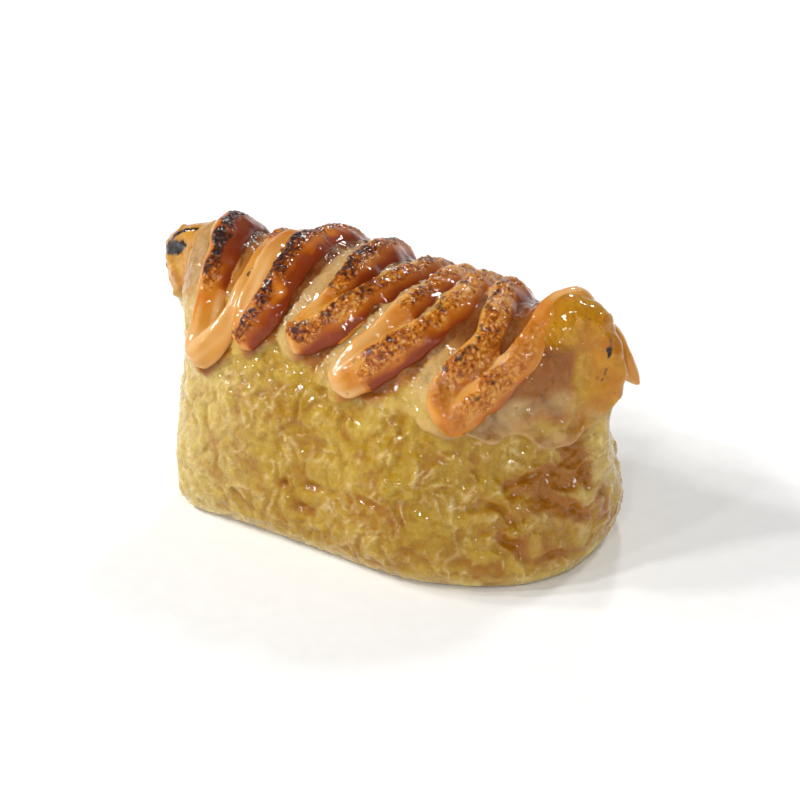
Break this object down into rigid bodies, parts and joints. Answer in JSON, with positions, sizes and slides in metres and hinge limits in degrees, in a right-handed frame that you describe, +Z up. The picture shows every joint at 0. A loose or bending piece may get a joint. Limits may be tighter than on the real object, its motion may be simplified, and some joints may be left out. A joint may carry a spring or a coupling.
{
  "type": "inari sushi",
  "caption": "Inari sushi: a plump fried tofu pouch filled with rice, its top corners drawn out as ears, with a thick torched mayonnaise zigzag piped over the ridge.",
  "frame": {"origin": "centre of the bounding box's bottom face, in the plane the pouch rests on", "axes": "+Z up, +X along the ridge towards the ear that carries the sauce's hanging tail, -Y towards the front face"},
  "size_m": [0.0728, 0.0398, 0.0395],
  "materials": {
    "fried_tofu": "wet, crinkled",
    "torched_mayonnaise": "glossy with a scorched crust"
  },
  "bodies": {
    "root": {"pouch": "fried_tofu", "sauce_zigzag": "torched_mayonnaise"}
  },
  "joints": []
}
